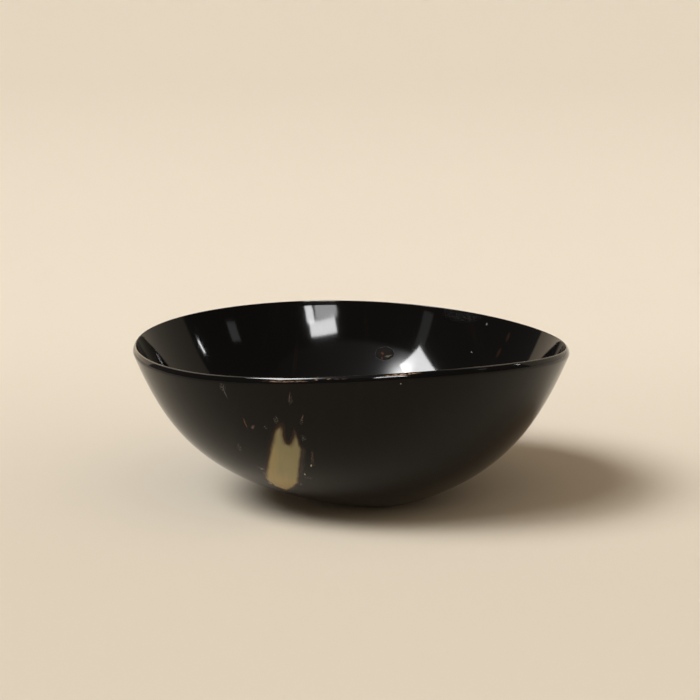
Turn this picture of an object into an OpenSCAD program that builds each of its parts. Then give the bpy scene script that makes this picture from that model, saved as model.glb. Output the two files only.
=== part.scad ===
// Round bowl pressed from one flattened plate of black horn, polished all over.
// Millimetres, +Z up. The origin is on the table, under the middle of the rim.
// The rim is warped a little, because horn moves as it dries. The bottom is ground flat,
// and that flat lies to one side, so the lower wall is fuller on +X than on -X.

/* [Rim] */
// Outside diameter across the rim
rim_d = 200; // [150:1:260]
// Mean height of the rim's crest above the table
rim_height = 75.5; // [50:0.5:110]
// Rise and fall of the rim's saddle-shaped warp
saddle_rise = 2.5; // [0:0.1:6]
// Direction of the saddle's low ends, turned from +X
saddle_turn = 22; // [-90:1:90]
// Rise and fall of the rim's three-lobed wave, which dips at +X
wave_rise = 0.5; // [0:0.1:2]
// Fall of the whole rim towards +X
side_fall = 0.3; // [-3:0.1:3]

/* [Wall] */
// Thickness of the wall at the rim
rim_wall = 2.5; // [2:0.1:6]
// How much thicker the rim is on its thick side than on average
wall_drift = 0.2; // [0:0.1:0.8]
// Direction of the thick side, turned from +X
drift_turn = -50; // [-180:5:180]
// Lean of the wall outwards at the rim, in degrees from upright
rim_lean = 22.3; // [5:0.1:35]
// Climb of the wall at the edge of the flat, in degrees from level
base_climb = 15; // [8:0.1:25]
// Fullness of the lower wall: 0 is a straight wall, 1 a wall that hugs the table
belly = 0.63; // [0.4:0.01:0.8]
// Straightness of the upper wall: 0 bends right up to the lip, 1 keeps the rim's lean
shoulder = 0.54; // [0.2:0.01:0.6]
// Bevel of the lip: how far the inner face rises past the outer one, in wall thicknesses
bevel = 0.8; // [0.2:0.01:0.9]

/* [Base] */
// Diameter of the ground flat that the bowl stands on
flat_d = 34; // [20:1:60]
// Place of the flat's middle, towards +X from under the middle of the rim
flat_offset = 11; // [-12:0.5:12]
// Thickness of the floor at its middle, over the flat
floor_wall = 3; // [2:0.1:6]

/* [Smoothness] */
// Facets around the bowl
around = 72; // [36:4:96]
// Facets up each face of the wall
wall_steps = 18; // [8:1:24]
// Facets over each rounded edge of the lip
lip_steps = 3; // [2:1:5]
// Facets across each dish, from its edge to its middle
dish_steps = 3; // [2:1:5]

/* [Hidden] */

rim_r = rim_d / 2;
flat_r = flat_d / 2;
// Lengths of the wall curve's two handles, at the flat and at the rim
belly_reach = belly * (rim_r - flat_r);
shoulder_reach = shoulder * rim_height;
// Directions up the wall at the rim and up the lip's bevel, as [radius, height]
wall_up = [sin(rim_lean), cos(rim_lean)];
bevel_run = [bevel * wall_up[0] - wall_up[1], bevel * wall_up[1] + wall_up[0]];
bevel_up = bevel_run / norm(bevel_run);
// Reach of the rounds on the bevel's two edges, and how far they stay inside its sharp
// corners, all in wall thicknesses
outer_round = 0.45;
inner_round = 0.17;
outer_loss = outer_round * wall_up[0] * bevel_up[0] / (bevel_up[0] - wall_up[0]);
inner_loss = inner_round * wall_up[1] * bevel_up[1] / (bevel_up[1] + wall_up[1]);
// Depth that grinding takes off the round bottom, and the wall's thickness beside the flat
ground_depth = flat_r * tan(base_climb) / 2;
base_wall = (floor_wall + ground_depth) / (cos(base_climb) + sin(base_climb) * tan(base_climb) / 2);

// Height of the lip's crest in one direction
function crest(turn) =
    rim_height - saddle_rise * cos(2 * (turn - saddle_turn)) - wave_rise * cos(3 * turn)
    - side_fall * cos(turn);

// Thickness of the wall at the rim in one direction
function thickness(turn) = rim_wall + wall_drift * cos(turn - drift_turn);

// The bevel's two corners in one direction, before rounding, as [radius, height]
function outer_corner(turn) = inner_corner(turn) - thickness(turn) * bevel_run;

function inner_corner(turn) =
    [rim_r, crest(turn)] + thickness(turn) * [outer_loss + bevel_run[0], inner_loss];

// Where the wall's outer face ends and the lip begins
function head(turn) = outer_corner(turn) - thickness(turn) * outer_round * wall_up;

// A corner rounded off by a quadratic curve that starts at one offset from it and ends at another
function rounded(corner, start, end, t) = corner + pow(1 - t, 2) * start + t * t * end;

// The lip from the outer face to the inner one: a round, the bevel and a smaller round
function lip(turn) =
    let (out = thickness(turn) * outer_round, in = thickness(turn) * inner_round)
    concat(
        [for (step = [1 : lip_steps])
            rounded(outer_corner(turn), -out * wall_up, out * bevel_up, step / lip_steps)],
        [for (step = [0 : lip_steps])
            rounded(inner_corner(turn), -in * bevel_up, -in * wall_up, step / lip_steps)]
    );

// The four control points of the wall's outer curve, from the flat to the lip
function wall_controls(turn) =
    let (foot = [flat_r, 0])
    [
        foot,
        foot + belly_reach * [cos(base_climb), sin(base_climb)],
        head(turn) - shoulder_reach * wall_up,
        head(turn)
    ];

// Weights of a cubic curve's four control points
function weights(t) = [pow(1 - t, 3), 3 * t * pow(1 - t, 2), 3 * t * t * (1 - t), t * t * t];

// Direction in which a cubic curve runs
function heading(c, t) =
    let (run = pow(1 - t, 2) * (c[1] - c[0]) + 2 * t * (1 - t) * (c[2] - c[1]) + t * t * (c[3] - c[2]))
    run / norm(run);

// Share of the flat's offset that the wall keeps: all of it at the flat, none at the rim
function offset_share(t) = pow(1 - t, 3);

// Points on the wall's two faces, as [radius, height, share of the offset]. The inner face lies
// one wall thickness in from the outer one.
function outer_wall(turn, t) =
    let (p = weights(t) * wall_controls(turn))
    [p[0], p[1], offset_share(t)];

function inner_wall(turn, t) =
    let (p = outer_wall(turn, t))
    let (run = heading(wall_controls(turn), t))
    let (thick = base_wall + (thickness(turn) - base_wall) * t)
    [p[0] - thick * run[1], p[1] + thick * run[0], p[2]];

// A point on the shallow dish that carries a face's slope on from its lower edge to the middle
function dish(edge, out) =
    [edge[0] * out, edge[1] - edge[0] * tan(base_climb) / 2 * (1 - out * out), edge[2]];

// The shell's section in one direction: out from under the middle, up the outside, over the
// lip, down the inside and in across the floor
function section(turn) = concat(
    [for (step = [1 : dish_steps - 1]) dish(outer_wall(turn, 0), step / dish_steps)],
    [for (step = [0 : wall_steps]) outer_wall(turn, step / wall_steps)],
    [for (point = lip(turn)) concat(point, 0)],
    [for (step = [wall_steps : -1 : 0]) inner_wall(turn, step / wall_steps)],
    [for (step = [dish_steps - 1 : -1 : 1]) dish(inner_wall(turn, 0), step / dish_steps)]
);

function placed(p, turn) = [p[0] * cos(turn) + p[2] * flat_offset, p[0] * sin(turn), p[1]];

// The plate as it leaves the press, still round underneath
module pressed_plate() {
    turns = [for (i = [0 : around - 1]) 360 * i / around];
    sections = [for (turn = turns) section(turn)];
    rings = len(sections[0]);
    skin = [for (ring = [0 : rings - 1]) for (i = [0 : around - 1]) placed(sections[i][ring], turns[i])];
    middles = [placed(dish(outer_wall(0, 0), 0), 0), placed(dish(inner_wall(0, 0), 0), 0)];
    under_middle = len(skin);
    floor_middle = under_middle + 1;
    last_ring = (rings - 1) * around;
    next = [for (i = [0 : around - 1]) (i + 1) % around];
    faces = [
        for (i = [0 : around - 1]) [under_middle, i, next[i]],
        for (ring = [0 : rings - 2]) for (i = [0 : around - 1])
            let (a = ring * around + i, b = ring * around + next[i])
            each [[a, a + around, b + around], [a, b + around, b]],
        for (i = [0 : around - 1]) [floor_middle, last_ring + next[i], last_ring + i]
    ];
    polyhedron(points = concat(skin, middles), faces = faces);
}

// Everything that grinding takes off below the table's level
module ground_away() {
    translate([flat_offset, 0, -2 * ground_depth])
        cylinder(h = 2 * ground_depth, d = 2 * flat_d);
}

module bowl_shell() {
    color([0.11, 0.1, 0.085])
        difference() {
            pressed_plate();
            ground_away();
        }
}

bowl_shell();
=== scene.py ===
"""A round bowl of polished black horn on a pale floor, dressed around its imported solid."""

import math

import bpy
import numpy as np
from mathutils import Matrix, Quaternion, Vector


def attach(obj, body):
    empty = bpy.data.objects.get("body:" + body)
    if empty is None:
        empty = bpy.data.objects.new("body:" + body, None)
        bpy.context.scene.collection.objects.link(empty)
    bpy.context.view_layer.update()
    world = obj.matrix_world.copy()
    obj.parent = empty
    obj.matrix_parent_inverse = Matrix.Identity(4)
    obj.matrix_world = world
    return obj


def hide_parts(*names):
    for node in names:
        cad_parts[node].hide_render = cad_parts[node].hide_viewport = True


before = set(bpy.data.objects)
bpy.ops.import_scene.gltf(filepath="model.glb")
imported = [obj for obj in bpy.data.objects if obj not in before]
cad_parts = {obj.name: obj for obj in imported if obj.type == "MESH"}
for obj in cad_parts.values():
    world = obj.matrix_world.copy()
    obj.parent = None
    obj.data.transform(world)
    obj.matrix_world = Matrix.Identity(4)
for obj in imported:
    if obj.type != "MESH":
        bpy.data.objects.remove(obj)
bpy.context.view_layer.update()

# The bowl's form: one plate of horn, softened by heat, pressed into a round mould, then ground
# flat underneath, bevelled round the lip and polished. Drying has warped the rim into a slight
# saddle, and the flat lies off to +X, so the lower wall is fuller there. Sizes in millimetres.
MM = 0.001
RIM_R = 100.0
RIM_HEIGHT = 75.5
SADDLE_RISE = 2.5
SADDLE_TURN = math.radians(22)
WAVE_RISE = 0.5
SIDE_FALL = 0.3
RIM_WALL = 2.5
WALL_DRIFT = 0.2
DRIFT_TURN = math.radians(-50)
RIM_LEAN = math.radians(22.3)
FLAT_R = 17.0
FLAT_OFFSET = 11.0
FLOOR_WALL = 3.0
BASE_CLIMB = math.radians(15)
BELLY_REACH = 0.63 * (RIM_R - FLAT_R)
SHOULDER_REACH = 0.54 * RIM_HEIGHT
GROUND_DEPTH = FLAT_R * math.tan(BASE_CLIMB) / 2
BASE_WALL = (FLOOR_WALL + GROUND_DEPTH) / (
    math.cos(BASE_CLIMB) + math.sin(BASE_CLIMB) * math.tan(BASE_CLIMB) / 2
)

# The section is worked out for every direction at once. Its points are [radius, height] pairs
# on the first axis of an array, then rows up the section, then directions around the bowl.
AROUND = 720
turn = np.linspace(-np.pi, np.pi, AROUND, endpoint=False)[None, :]
crest = (
    RIM_HEIGHT
    - SADDLE_RISE * np.cos(2 * (turn - SADDLE_TURN))
    - WAVE_RISE * np.cos(3 * turn)
    - SIDE_FALL * np.cos(turn)
)
rim_wall = RIM_WALL + WALL_DRIFT * np.cos(turn - DRIFT_TURN)


def pair(radius, height):
    """One [radius, height] pair that holds in every row and direction."""
    return np.array([radius, height])[:, None, None]


def rounded(corner, start, end, t):
    """A corner rounded off by a quadratic curve, from one offset from the corner to another."""
    return corner + (1 - t) ** 2 * start + t**2 * end


def dish(edge, out):
    """A shallow dish from a face's lower edge, at 1, to its middle, at 0: a parabola that leaves the
    edge at the base's climb."""
    drop = edge[0] * math.tan(BASE_CLIMB) / 2 * (1 - out**2)
    return np.stack([edge[0] * out, edge[1] - drop])


def waviness(t, phase):
    """Hand polishing leaves a wall slightly uneven: three slow waves around and up it, which die away
    at both ends. In millimetres."""
    waves = (
        0.05 * np.sin(5 * turn + 4.0 * t + phase)
        + 0.04 * np.sin(9 * turn - 7.0 * t + 2 * phase)
        + 0.03 * np.sin(3 * turn + 11.0 * t - phase)
    )
    return waves * np.sqrt(np.sin(np.pi * np.clip(t, 0, 1)))


# The lip: a bevel that rises to the inner face, rubbed so round that its outer and inner rounds
# meet half-way up it. Its rise, its rounds and what they take off its corners are in wall
# thicknesses. A short collar leads from the inner round down to the wall.
BEVEL = 0.8
OUTER_ROUND = 0.45
INNER_ROUND = 0.3
wall_up = pair(math.sin(RIM_LEAN), math.cos(RIM_LEAN))
wall_in = pair(-math.cos(RIM_LEAN), math.sin(RIM_LEAN))
bevel_run = BEVEL * wall_up + wall_in
bevel_length = math.hypot(*bevel_run.ravel())
bevel_up = bevel_run / bevel_length
half_bevel = bevel_length / 2
outer_loss = 1 / (1 / (OUTER_ROUND * wall_up[0]) - 1 / (half_bevel * bevel_up[0]))
inner_loss = 1 / (1 / (INNER_ROUND * wall_up[1]) + 1 / (half_bevel * bevel_up[1]))
crest_point = np.stack([RIM_R + 0 * turn, crest])
inner_corner = crest_point + rim_wall * np.stack([outer_loss + bevel_run[0], inner_loss])
outer_corner = inner_corner - rim_wall * bevel_run
head = outer_corner - rim_wall * OUTER_ROUND * wall_up
round_t = np.linspace(0.0, 1.0, 15)[1:, None]
bevel_reach = rim_wall * half_bevel * bevel_up
outer_edge = rounded(outer_corner, -rim_wall * OUTER_ROUND * wall_up, bevel_reach, round_t)
inner_edge = rounded(inner_corner, -bevel_reach, -rim_wall * INNER_ROUND * wall_up, round_t)
collar_t = np.array([0.12, 0.5, 0.88])[:, None]
collar = inner_edge[:, -1:] * (1 - collar_t) + (head + rim_wall * wall_in) * collar_t
lip = np.concatenate([outer_edge, inner_edge, collar], axis=1)

# The wall: its outer face is a cubic curve that leaves the flat at the base's climb and meets
# the lip at the rim's lean. The inner face lies one wall thickness away, and the wall thins
# evenly on its way up.
wall_t = np.concatenate([[0.0, 0.004, 0.012], np.linspace(0.03, 1.0, 40)])[:, None]
foot = pair(FLAT_R, 0.0) + 0 * head
controls = [
    foot,
    foot + BELLY_REACH * pair(math.cos(BASE_CLIMB), math.sin(BASE_CLIMB)),
    head - SHOULDER_REACH * wall_up,
    head,
]
weights = [(1 - wall_t) ** 3, 3 * wall_t * (1 - wall_t) ** 2, 3 * wall_t**2 * (1 - wall_t), wall_t**3]
slopes = [(1 - wall_t) ** 2, 2 * wall_t * (1 - wall_t), wall_t**2]
outer_wall = sum(w * c for w, c in zip(weights, controls))
run = sum(s * (after - before) for s, before, after in zip(slopes, controls, controls[1:]))
run = run / np.hypot(run[0], run[1])
inwards = np.stack([-run[1], run[0]])
wall_thickness = BASE_WALL + (rim_wall - BASE_WALL) * wall_t
inner_wall = outer_wall + (wall_thickness + waviness(wall_t, 2.1)) * inwards
steps = np.hypot(*np.diff(outer_wall, axis=1))
wall_length = FLAT_R + np.concatenate([np.zeros((1, AROUND)), np.cumsum(steps, axis=0)])

# The shell's section, from under its middle: out across the ground flat, up the outer face,
# over the lip, down the inner face and in across the floor.
under_out = np.array([0.3, 0.6, 0.85, 0.96, 0.995])[:, None]
floor_out = np.array([0.97, 0.9, 0.75, 0.6, 0.45, 0.3, 0.15])[:, None]
under = np.stack([FLAT_R * under_out, 0 * under_out]) + 0 * head
outer_face = outer_wall - waviness(wall_t, 0.4) * inwards
floor = dish(inner_wall[:, :1, :], floor_out)
section = np.concatenate([under, outer_face, lip, inner_wall[:, ::-1], floor], axis=1)
wall_share = weights[0]
share = np.concatenate(
    [0 * under_out + 1, wall_share, 0 * lip[0, :, :1], wall_share[::-1], 0 * floor_out + 1]
)
points = np.stack(
    [section[0] * np.cos(turn) + share * FLAT_OFFSET, section[0] * np.sin(turn), section[1]], axis=-1
)
floor_middle = dish(inner_wall[:, :1, :], 0.0)[1].mean()
points = np.vstack([points.reshape(-1, 3), [FLAT_OFFSET, 0, 0], [FLAT_OFFSET, 0, floor_middle]])

# Where each point lay while the plate was flat: how far from the middle, and how deep, from 0
# on the outer face to 1 on the inner face.
lip_offset = lip - head
lip_length = wall_length[-1:] + (lip_offset * wall_up).sum(axis=0)
lip_depth = (lip_offset * wall_in).sum(axis=0) / rim_wall
under_length = FLAT_R * under_out + 0 * turn
floor_length = FLAT_R * floor_out + 0 * turn
length = np.concatenate([under_length, wall_length, lip_length, wall_length[::-1], floor_length])
depth = np.concatenate(
    [0 * under_length, 0 * wall_length, lip_depth, 0 * wall_length + 1, 0 * floor_length + 1]
)
plate = np.stack([length * np.cos(turn), length * np.sin(turn), depth * RIM_WALL], axis=-1)
plate = np.vstack([plate.reshape(-1, 3), [0, 0, 0], [0, 0, RIM_WALL]])
depth = np.append(depth.ravel(), [0.0, 1.0])

# The mesh: a net of quads from row to row, closed by a fan under the flat's middle and another on
# the floor's middle.
rows = section.shape[1]
ring, column = np.meshgrid(np.arange(rows - 1), np.arange(AROUND), indexing="ij")
beside = (column + 1) % AROUND
quads = np.stack(
    [
        ring * AROUND + column,
        ring * AROUND + beside,
        (ring + 1) * AROUND + beside,
        (ring + 1) * AROUND + column,
    ],
    axis=-1,
).reshape(-1, 4)
spoke = np.arange(AROUND)
after = (spoke + 1) % AROUND
under_pole = np.full(AROUND, rows * AROUND)
last = (rows - 1) * AROUND
under_fan = np.stack([under_pole, after, spoke], axis=-1)
floor_fan = np.stack([under_pole + 1, last + spoke, last + after], axis=-1)
corners = np.concatenate([quads.ravel(), under_fan.ravel(), floor_fan.ravel()])
sizes = np.concatenate([np.full(len(quads), 4), np.full(2 * AROUND, 3)])
mesh = bpy.data.meshes.new("horn_bowl")
mesh.vertices.add(len(points))
mesh.vertices.foreach_set("co", (points * MM).astype(np.float32).ravel())
mesh.loops.add(len(corners))
mesh.loops.foreach_set("vertex_index", corners.astype(np.int32))
mesh.polygons.add(len(sizes))
mesh.polygons.foreach_set("loop_start", (np.cumsum(sizes) - sizes).astype(np.int32))
mesh.update(calc_edges=True)
mesh.polygons.foreach_set("use_smooth", np.ones(len(sizes), bool))
plate_data = mesh.attributes.new("plate", "FLOAT_VECTOR", "POINT").data
plate_data.foreach_set("vector", plate.astype(np.float32).ravel())
depth_data = mesh.attributes.new("depth", "FLOAT", "POINT").data
depth_data.foreach_set("value", depth.astype(np.float32))
mesh.validate()
bowl = bpy.data.objects.new("horn_bowl", mesh)
bpy.context.scene.collection.objects.link(bowl)


class Field:
    """A value, vector or colour that varies over a surface: one socket of a material's nodes.
    Sums, differences, products and quotients of values add Math nodes."""

    def __init__(self, tree, socket=None):
        self.tree = tree
        self.socket = socket

    def node(self, kind, settings=None, inputs=None, output=0):
        """Adds a node: its settings are set first, then each input gets a number or a link."""
        made = self.tree.nodes.new(kind)
        for name, value in (settings or {}).items():
            setattr(made, name, value)
        for name, value in (inputs or {}).items():
            if isinstance(value, Field):
                self.tree.links.new(value.socket, made.inputs[name])
            else:
                made.inputs[name].default_value = value
        return Field(self.tree, made.outputs[output])

    def maths(self, operation, *values):
        return self.node("ShaderNodeMath", {"operation": operation}, dict(enumerate(values)))

    def __add__(self, other):
        return self.maths("ADD", self, other)

    def __sub__(self, other):
        return self.maths("SUBTRACT", self, other)

    def __rsub__(self, other):
        return self.maths("SUBTRACT", other, self)

    def __mul__(self, other):
        return self.maths("MULTIPLY", self, other)

    def __truediv__(self, other):
        return self.maths("DIVIDE", self, other)

    def __pow__(self, other):
        return self.maths("POWER", self, other)

    def __abs__(self):
        return self.maths("ABSOLUTE", self)

    __radd__ = __add__
    __rmul__ = __mul__

    def most(self, other):
        return self.maths("MAXIMUM", self, other)

    def rise(self, low, high):
        """0 where the value is at low, 1 at high, smooth between; low may be the greater."""
        limits = {"Value": self, "From Min": low, "From Max": high}
        return self.node("ShaderNodeMapRange", {"interpolation_type": "SMOOTHSTEP"}, limits)

    def over(self, below, colour):
        """A colour laid over another one, as thickly as this value says."""
        sockets = {0: self, 6: below, 7: colour}
        return self.node("ShaderNodeMix", {"data_type": "RGBA"}, sockets, output=2)

    def dot(self, direction):
        """How far a vector points along a direction."""
        inputs = {0: self, 1: direction}
        return self.node("ShaderNodeVectorMath", {"operation": "DOT_PRODUCT"}, inputs, output="Value")


# The bowl's finish: black horn polished to a gloss, brighter inside than out. Fibres run along
# the plate from front to back. A pale streak, brown flecks, pits and scratches lie in the
# same horn. Marks are placed in millimetres on the flat plate: x across the fibres, y along.
horn = bpy.data.materials.new("black_horn")
horn.use_nodes = True
surface = Field(horn.node_tree)
place = surface.node("ShaderNodeAttribute", {"attribute_name": "plate"}, output="Vector")
inner = surface.node("ShaderNodeAttribute", {"attribute_name": "depth"}, output="Fac")
across = place.dot((1, 0, 0))
along = place.dot((0, 1, 0))
outer = inner.rise(0.03, 0.0)
lining = inner.rise(0.97, 1.0)


def cloud(x_size, y_size, depth_size, detail=3.0):
    """Noise whose lumps have these sizes across the fibres, along them and through the plate."""
    scale = (1 / x_size, 1 / y_size, 1 / depth_size)
    stretched = place.node("ShaderNodeVectorMath", {"operation": "MULTIPLY"}, {0: place, 1: scale})
    return place.node("ShaderNodeTexNoise", None, {"Vector": stretched, "Scale": 1.0, "Detail": detail})


ragged_x = across + (cloud(1.1, 1.6, 1.1) - 0.5) * 1.6
ragged_y = along + (cloud(1.3, 1.3, 1.0) - 0.5) * 1.6


def spot(x, y, half_width, half_length, lean=0.0, soft=0.5, edge=1.0):
    """An oval mark with a ragged edge: 1 within it, fading to 0 at its rim. Its length lies along the
    fibres, turned by lean degrees towards +X."""
    c, s = math.cos(math.radians(lean)), math.sin(math.radians(lean))
    dx = (across * (1 - edge) + ragged_x * edge) - x
    dy = (along * (1 - edge) + ragged_y * edge) - y
    reach = ((dx * c - dy * s) / half_width) ** 2 + ((dx * s + dy * c) / half_length) ** 2
    return reach.rise(1.0, (1 - soft) ** 2)


fibres = cloud(0.9, 45.0, 0.9, detail=4.0)
broad = cloud(13.0, 60.0, 5.0)
BLACK = (0.0032, 0.0028, 0.0024, 1)
DARK_BROWN = (0.011, 0.0062, 0.0036, 1)
colour = (broad.rise(0.5, 0.8) * fibres.rise(0.35, 0.7) * 0.7).over(BLACK, DARK_BROWN)

# The pale streak: a band of unpigmented horn on the front of the outer face. Its upper end has
# two prongs with a brown notch between them, and its lower end is blunt and ragged. Each
# gap is how far a place lies inside one of its edges.
STREAK_LEFT = -42.1
STREAK_RIGHT = -25.3
STREAK_TIP = -105.0
STREAK_SHOULDER = -94.6
STREAK_KNEE = -66.0
STREAK_TOE = -47.0
PRONG_X, PRONG_Y = -39.6, -100.2
NOTCH_X, NOTCH_Y = -32.3, -95.0
FOOT_X, FOOT_Y = -42.9, -56.6
streak_x = across + (cloud(2.2, 7.0, 3.0) - 0.5) * 1.3
streak_y = along + (cloud(1.2, 3.0, 2.0) - 0.5) * 2.4
left_gap = streak_x - STREAK_LEFT + (streak_y - STREAK_KNEE) * 0.08
past_knee = (streak_y - STREAK_KNEE).most(0.0)
past_shoulder = (STREAK_SHOULDER - streak_y).most(0.0)
right_edge = STREAK_RIGHT - (streak_y - STREAK_SHOULDER) * 0.07
right_edge = right_edge - past_knee * 0.3 - past_shoulder * 0.46
right_gap = right_edge - streak_x
prong_gap = (streak_x - PRONG_X) * 0.9 + (streak_y - PRONG_Y) * 0.435
notch_x = abs(streak_x - NOTCH_X)
notch_gap = (streak_y - NOTCH_Y + notch_x**3 / 6) / (notch_x * notch_x * 0.5 + 1)
tip_gap = streak_y - STREAK_TIP
foot_gap = (streak_x - FOOT_X) * 0.79 - (streak_y - FOOT_Y) * 0.62
toe_gap = STREAK_TOE - streak_y
sides = left_gap.rise(-0.7, 1.6) * right_gap.rise(-0.5, 1.4) * foot_gap.rise(-0.4, 1.8)
ends = prong_gap.rise(-0.6, 1.2) * notch_gap.rise(-0.8, 1.2)
ends = ends * tip_gap.rise(-0.5, 3.5) * toe_gap.rise(0.0, 4.0)
pale = sides * ends * outer
halo_sides = left_gap.rise(-2.8, 0.6) * right_gap.rise(-1.4, 0.6) * foot_gap.rise(-1.4, 0.6)
halo_ends = prong_gap.rise(-2.6, 0.6) * tip_gap.rise(-4.0, 1.0) * toe_gap.rise(-3.0, 1.0)
halo = halo_sides * halo_ends * notch_gap.rise(-4.0, 0.2) * outer
bloom = right_gap.rise(-3.4, -0.6) * right_gap.rise(1.0, -0.4) * along.rise(-98.0, -93.0)
bloom = bloom * along.rise(-70.0, -78.0) * outer
UMBER = (0.036, 0.0175, 0.010, 1)
ASH = (0.030, 0.026, 0.024, 1)
OLIVE = (0.22, 0.195, 0.105, 1)
CREAM = (0.27, 0.24, 0.125, 1)
HONEY = (0.36, 0.27, 0.115, 1)
AMBER = (0.32, 0.165, 0.06, 1)
streak = along.rise(-100.0, -80.0).over(OLIVE, CREAM)
streak = (across.rise(-34.0, -41.0) * along.rise(-96.0, -84.0) * 0.7).over(streak, HONEY)
streak = along.rise(-76.0, -60.0).over(streak, HONEY)
streak = (cloud(1.6, 22.0, 1.6).rise(0.42, 0.7) * 0.35).over(streak, OLIVE)
streak = (toe_gap.rise(6.0, 1.0) * 0.8).over(streak, AMBER)
colour = bloom.over(colour, ASH)
colour = (halo * 0.85).over(colour, UMBER)
colour = pale.over(colour, streak)

# Pits: clusters of torn fibre ends around the streak, with a few on the back, where y is positive.
# Each cluster is a place, a half width and a half length.
fleck_grain = cloud(0.32, 0.5, 0.4, detail=2.0).rise(0.54, 0.66)
clusters = [
    (-39.6, -107.6, 1.8, 2.6),
    (-26.1, -111.7, 1.1, 2.8),
    (-44.5, -100.5, 1.2, 1.6),
    (-24.6, -101.7, 1.6, 2.0),
    (-19.8, -90.4, 1.0, 6.0),
    (-21.9, -73.5, 2.6, 2.0),
    (-26.3, -64.5, 1.4, 1.8),
    (-44.9, -68.5, 3.2, 2.2),
    (-41.7, -55.0, 1.6, 4.0),
    (-32.6, -47.4, 4.0, 2.0),
    (-33.2, -121.0, 1.6, 3.0),
    (-71.6, -108.0, 2.4, 2.6),
    (-56.4, -77.6, 1.8, 3.4),
    (38.0, 92.0, 2.2, 3.2),
    (-54.0, 88.0, 1.6, 3.0),
    (88.0, 58.0, 1.8, 2.6),
]
near_clusters = 0.0
for x, y, half_width, half_length in clusters:
    near_clusters = spot(x, y, half_width, half_length, soft=0.8).most(near_clusters)
pits = near_clusters * fleck_grain * outer
FLECK_GREY = (0.17, 0.155, 0.135, 1)
colour = pits.over(colour, FLECK_GREY)

# Scratches, flecks and stains, each an oval: its place, half width, half length, lean and colour. The
# largest stain, inside at the back, is a spot where the fibres are torn open. The pale gold streak
# across it is a painted glint, not a mark in the horn.
TORN_SPOT = (20.6, 106.7, 6.2, 3.8, 10.0)
SCRATCH_GREY = (0.07, 0.07, 0.065, 1)
RUST = (0.10, 0.048, 0.024, 1)
RUSSET = (0.05, 0.021, 0.014, 1)
ROSE = (0.09, 0.055, 0.05, 1)
CHALK = (0.36, 0.35, 0.31, 1)
SAND = (0.42, 0.27, 0.17, 1)
outer_marks = [
    (-69.8, -106.2, 0.35, 4.0, 47.0, SCRATCH_GREY),
    (-55.4, -96.7, 0.5, 3.2, 35.0, RUST),
    (-51.1, -97.0, 0.9, 2.0, 160.0, ROSE),
    (-25.8, -113.3, 0.35, 2.2, -12.0, ROSE),
    (-33.8, -122.6, 0.3, 3.0, 0.0, ROSE),
    (27.8, -129.9, 0.4, 0.4, 0.0, CHALK),
    (-23.6, -76.2, 0.45, 1.0, 0.0, CHALK),
    (-20.3, -84.6, 0.5, 1.1, 0.0, CHALK),
    (-19.0, -85.4, 0.8, 0.8, 0.0, RUSSET),
    (-19.4, -90.9, 0.4, 4.8, 6.0, RUSSET),
    (-26.1, -64.9, 0.7, 0.8, 0.0, FLECK_GREY),
    (-44.3, -68.4, 0.6, 1.4, -35.0, FLECK_GREY),
    (-43.0, -64.0, 0.5, 3.2, 20.0, ROSE),
    (-40.9, -52.7, 1.3, 1.2, 0.0, SAND),
    (-38.3, -51.4, 1.5, 1.0, 0.0, SAND),
    (44.5, 99.0, 0.5, 4.6, 18.0, RUSSET),
    (-28.0, 112.0, 0.35, 3.4, -14.0, ROSE),
    (-88.0, 70.0, 0.35, 4.2, 40.0, SCRATCH_GREY),
    (61.0, 74.0, 0.5, 0.9, 0.0, CHALK),
]
EMBER = (0.08, 0.031, 0.016, 1)
STAIN = (0.007, 0.005, 0.0038, 1)
FAINT_STAIN = (0.017, 0.008, 0.0042, 1)
# Painted glint: a pale gold that stands for a glint across the torn spot.
PAINTED_GLINT = (0.12, 0.10, 0.072, 1)
inner_marks = [
    (*TORN_SPOT, STAIN),
    (19.3, 106.9, 1.2, 1.1, 0.0, EMBER),
    (19.0, 104.4, 0.5, 1.2, 0.0, EMBER),
    # painted glint: a pale gold streak across the torn spot
    (22.8, 105.0, 2.8, 0.6, -4.0, PAINTED_GLINT),
    (99.9, 76.1, 1.6, 3.0, 55.0, FAINT_STAIN),
    (90.9, 73.0, 1.5, 3.4, 65.0, FAINT_STAIN),
    (88.6, 94.7, 0.8, 0.8, 0.0, FLECK_GREY),
    (74.7, 86.7, 0.4, 0.7, 0.0, FLECK_GREY),
]
for *oval, tint in outer_marks:
    colour = (spot(*oval, soft=0.7, edge=0.5) * outer).over(colour, tint)
for *oval, tint in inner_marks:
    colour = (spot(*oval, soft=0.8) * lining).over(colour, tint)
MOTTLE = (0.035, 0.038, 0.040, 1)
mottle = spot(74.0, 109.0, 18.0, 3.6, 34.0, soft=0.8, edge=0.0) * fleck_grain * lining
colour = mottle.over(colour, MOTTLE)

# Wear on the lip: brown and orange fibres show where its edges are rubbed, and one rose line is a
# painted highlight. Each is a middle and a half length across the front, a depth with a half width,
# and how much that depth leans.
front = along.rise(-60.0, -80.0)
lip_grain = cloud(2.2, 2.2, 0.25, detail=4.0)
TAN = (0.22, 0.14, 0.09, 1)
lip_marks = [
    (-36.0, 16.0, 0.34, 0.11, 0.0, TAN),
    (-20.0, 1.2, 0.50, 0.14, 0.0, TAN),
    (-12.5, 1.6, 0.55, 0.16, 0.0, TAN),
    # painted highlight: a dim rose line where the window's highlight runs on along the bevel
    (-5.5, 5.0, 0.52, 0.09, 0.0, ROSE),
    (29.5, 12.5, 0.66, 0.15, 0.006, SAND),
]
for middle, half_length, level, half_level, slant, tint in lip_marks:
    dx = across - middle
    reach = (dx / half_length) ** 2 + ((inner - level - dx * slant) / half_level) ** 2
    mark = reach.rise(1.0, 0.2) * lip_grain.rise(0.40, 0.62) * front
    colour = mark.over(colour, tint)

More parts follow.
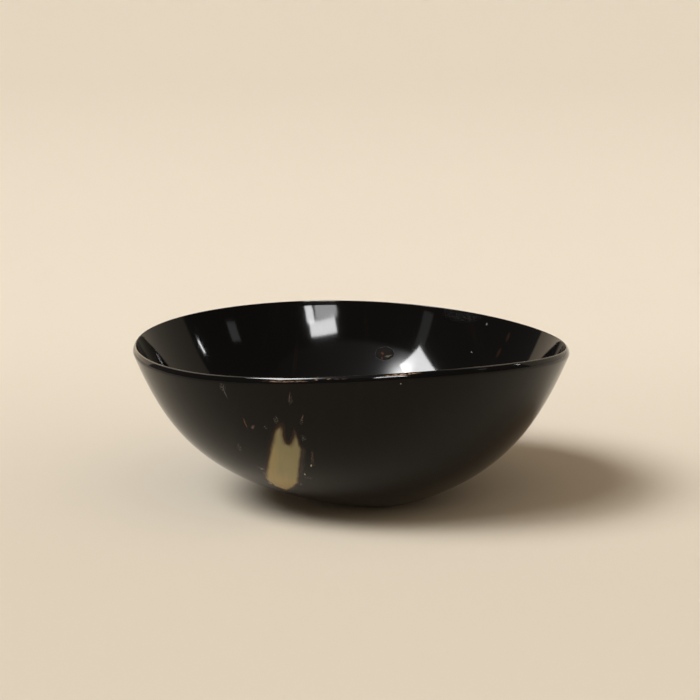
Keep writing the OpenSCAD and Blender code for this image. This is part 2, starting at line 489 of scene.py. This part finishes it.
# A paler beige line along the lip's inner edge on both sides is a painted reflection of the pale wall
# behind the bowl, seen in the edge's round.
PAINTED_REFLECTION_BEIGE = (0.15, 0.135, 0.112, 1)
# painted reflection: a beige line on the lip's inner edge
painted_edge_reflection = inner.rise(0.68, 0.82) * inner.rise(1.0, 0.97) * abs(across).rise(45.0, 95.0) * 0.6
colour = painted_edge_reflection.over(colour, PAINTED_REFLECTION_BEIGE)

# The polish: brighter inside and on the lip than outside, dull in the pits, on the torn spot and on
# the ground flat, which keeps the marks of the stone.
OUTER_ROUGHNESS = 0.12
INNER_ROUGHNESS = 0.06
hairlines = cloud(0.35, 9.0, 0.35, detail=2.0).rise(0.55, 0.75)
dull_spot = spot(*TORN_SPOT, soft=0.08) * lining
ground = (across * across + along * along).rise((FLAT_R + 0.4) ** 2, (FLAT_R - 0.2) ** 2) * outer
stone_marks = cloud(6.0, 0.3, 1.0, detail=2.0)
polish = OUTER_ROUGHNESS - inner.rise(0.0, 0.3) * (OUTER_ROUGHNESS - INNER_ROUGHNESS)
polish = polish + hairlines * 0.02 + pits * 0.3 + dull_spot * 0.88
polish = polish + ground * (0.2 + stone_marks * 0.25)
relief = {"Strength": 0.5, "Distance": 0.0002, "Height": 1 - pits - ground * stone_marks * 0.5}
finish = horn.node_tree.nodes["Principled BSDF"]
finish.inputs["IOR"].default_value = 1.5
finish.inputs["Specular IOR Level"].default_value = 0.14
horn.node_tree.links.new(colour.socket, finish.inputs["Base Color"])
horn.node_tree.links.new(polish.socket, finish.inputs["Roughness"])
horn.node_tree.links.new(surface.node("ShaderNodeBump", None, relief).socket, finish.inputs["Normal"])
mesh.materials.append(horn)
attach(bowl, "root")
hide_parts("bowl_shell")

# The floor: a wide pale sheet of matt paper that the bowl stands on. Its colour is painted palest a
# little way behind the bowl: painted light, for the light falling brightest there. Sizes of the stage
# are in metres.
FLOOR_HALF = 12.0
BEIGE = (0.745, 0.676, 0.56, 1)
PAINTED_LIGHT_BEIGE = (0.862, 0.792, 0.673, 1)
floor_corners = [(-FLOOR_HALF, -FLOOR_HALF, 0), (FLOOR_HALF, -FLOOR_HALF, 0)]
floor_corners += [(FLOOR_HALF, FLOOR_HALF, 0), (-FLOOR_HALF, FLOOR_HALF, 0)]
paper_mesh = bpy.data.meshes.new("paper_floor")
paper_mesh.from_pydata(floor_corners, [], [(0, 1, 2, 3)])
paper_floor = bpy.data.objects.new("paper_floor", paper_mesh)
bpy.context.scene.collection.objects.link(paper_floor)
paper = bpy.data.materials.new("beige_paper")
paper.use_nodes = True
paper_finish = paper.node_tree.nodes["Principled BSDF"]
sheet = Field(paper.node_tree)
behind = sheet.node("ShaderNodeTexCoord", output="Object").dot((0, 1, 0))
# painted light: the paper is painted paler behind the bowl, where the light falls brightest
painted_light_falloff = behind.rise(-0.15, 0.5) * (behind.rise(3.0, 0.5) * 0.6 + 0.4)
paper_colour = painted_light_falloff.over(BEIGE, PAINTED_LIGHT_BEIGE)
paper.node_tree.links.new(paper_colour.socket, paper_finish.inputs["Base Color"])
paper_finish.inputs["Roughness"].default_value = 0.9
paper_finish.inputs["Specular IOR Level"].default_value = 0.1
paper_mesh.materials.append(paper)

# The light: a broad soft key in two halves, high on the front left, lights the floor and the horn's
# own colour. Softboxes show only in the polish. Each lamp is placed by its bearing from the
# bowl, where 0 degrees is towards the camera and 90 to the right, and by its climb.
LIGHT_DISTANCE = 4.0
KEY_CLIMB = 46.5
KEY_SPREAD = math.radians(26)
KEY_STRENGTH = 1.46


def direction(bearing, climb):
    """The unit vector towards a bearing and a climb above the floor, both in degrees."""
    b, c = math.radians(bearing), math.radians(climb)
    return Vector((math.sin(b) * math.cos(c), -math.cos(b) * math.cos(c), math.sin(c)))


def hang(name, lamp, towards, roll=0.0):
    """Puts a lamp in a direction from the bowl, facing the bowl and rolled by some degrees. Only the
    key lights matt surfaces, and only the others show in the polish."""
    holder = bpy.data.objects.new(name, lamp)
    holder.visible_diffuse = lamp.type == "SUN"
    holder.visible_glossy = lamp.type != "SUN"
    holder.location = towards * LIGHT_DISTANCE
    holder.rotation_mode = "QUATERNION"
    upright = towards.to_track_quat("Z", "Y")
    holder.rotation_quaternion = upright @ Quaternion((0, 0, 1), math.radians(roll))
    bpy.context.scene.collection.objects.link(holder)


def softbox(name, bearing, climb, wide, tall, radiance, roll=0.0):
    """A rectangular lamp that covers wide by tall degrees of the bowl's sky, at this brightness."""
    lamp = bpy.data.lights.new(name, "AREA")
    lamp.shape = "RECTANGLE"
    lamp.size = 2 * LIGHT_DISTANCE * math.tan(math.radians(wide) / 2)
    lamp.size_y = 2 * LIGHT_DISTANCE * math.tan(math.radians(tall) / 2)
    lamp.energy = radiance * math.pi * lamp.size * lamp.size_y
    hang(name, lamp, direction(bearing, climb), roll)


for name, bearing in (("key_front", -43), ("key_side", -62)):
    key = bpy.data.lights.new(name, "SUN")
    key.angle = KEY_SPREAD
    key.energy = KEY_STRENGTH
    hang(name, key, direction(bearing, KEY_CLIMB))
softbox("skylight", -60.5, 53.9, 23, 12, 60.0, roll=-17)
softbox("window_low", 20.7, 43.9, 12.5, 3.7, 58.0)
softbox("window_side", 28, 40, 3.6, 4.1, 58.0)
softbox("window_pane", 17.4, 39.9, 10.5, 3.9, 24.0)
softbox("strip", 106.8, 27.1, 0.8, 2.8, 60.0)
softbox("far_pane", 80.2, 33.5, 5, 4.2, 1.9, roll=-19)
softbox("tall_pane", -47.3, 40, 5, 9, 1.2)

# The room: a soft fill from the window's side, pale where the camera looks past the floor. Polished
# horn also shows a pale wall behind the bowl, lit on the left, and a dim ceiling, which glows
# around the skylight and is hazy close to it.
LOW_FILL = (0.10, 0.080, 0.060, 1)
HIGH_FILL = (0.92, 0.75, 0.57, 1)
DARK_ROOM = (0.15, 0.15, 0.15, 1)
PALE_SKY = (0.74, 0.64, 0.50, 1)
LIT_WALL = (1.45, 1.19, 0.90, 1)
CEILING = (0.80, 0.80, 0.80, 1)
GLOW = (4.2, 4.2, 4.3, 1)
HAZE = (75.0, 75.0, 75.0, 1)
world = bpy.data.worlds.new("studio")
world.use_nodes = True
bpy.context.scene.world = world
sky = Field(world.node_tree)
glossy_ray = sky.node("ShaderNodeLightPath", output="Is Glossy Ray")
camera_ray = sky.node("ShaderNodeLightPath", output="Is Camera Ray")
towards = sky.node("ShaderNodeTexCoord", output="Generated")
climb = towards.dot((0, 0, 1))
wall_behind = towards.dot(direction(169, 0)).rise(0.46, 0.48) * climb.rise(0.54, 0.50)
wall_colour = towards.dot((-1, 0, 0)).rise(-0.2, 0.2).over(PALE_SKY, LIT_WALL)
near_skylight = towards.dot(direction(-43.5, 57)).most(0.0)
ceiling = climb.rise(0.71, 0.74) * towards.dot(direction(40, 0)).rise(-0.05, 0.05)
ceiling = ceiling * towards.dot(direction(80, -39.5)).rise(0.014, -0.014)
seen = wall_behind.over(DARK_ROOM, wall_colour)
seen = (near_skylight**4 * ceiling).over(seen, CEILING)
seen = (near_skylight**48 * ceiling).over(seen, GLOW)
seen = (near_skylight**200 * ceiling).over(seen, HAZE)
fill = (towards.dot(direction(20, 40)).most(0.0) ** 3).over(LOW_FILL, HIGH_FILL)
room = camera_ray.over(glossy_ray.over(fill, seen), PALE_SKY)
world.node_tree.links.new(room.socket, world.node_tree.nodes["Background"].inputs["Color"])

# The camera: twelve degrees above the table, in front, with the bowl low in the frame.
CAMERA_CLIMB = 12.03
CAMERA_DISTANCE = 1.1
CAMERA_LENS = 122.25
BOWL_MIDDLE = Vector((0, 0, RIM_HEIGHT * MM / 2))
AIM = Vector((-0.00056, 0.0, 0.07026))
view = bpy.data.cameras.new("camera")
view.lens = CAMERA_LENS
view.sensor_width = 36.0
camera = bpy.data.objects.new("camera", view)
camera.location = direction(0, CAMERA_CLIMB) * CAMERA_DISTANCE + BOWL_MIDDLE
camera.rotation_mode = "QUATERNION"
camera.rotation_quaternion = (AIM - camera.location).to_track_quat("-Z", "Y")
bpy.context.scene.collection.objects.link(camera)
bpy.context.scene.camera = camera
bpy.context.scene.view_settings.view_transform = "Standard"
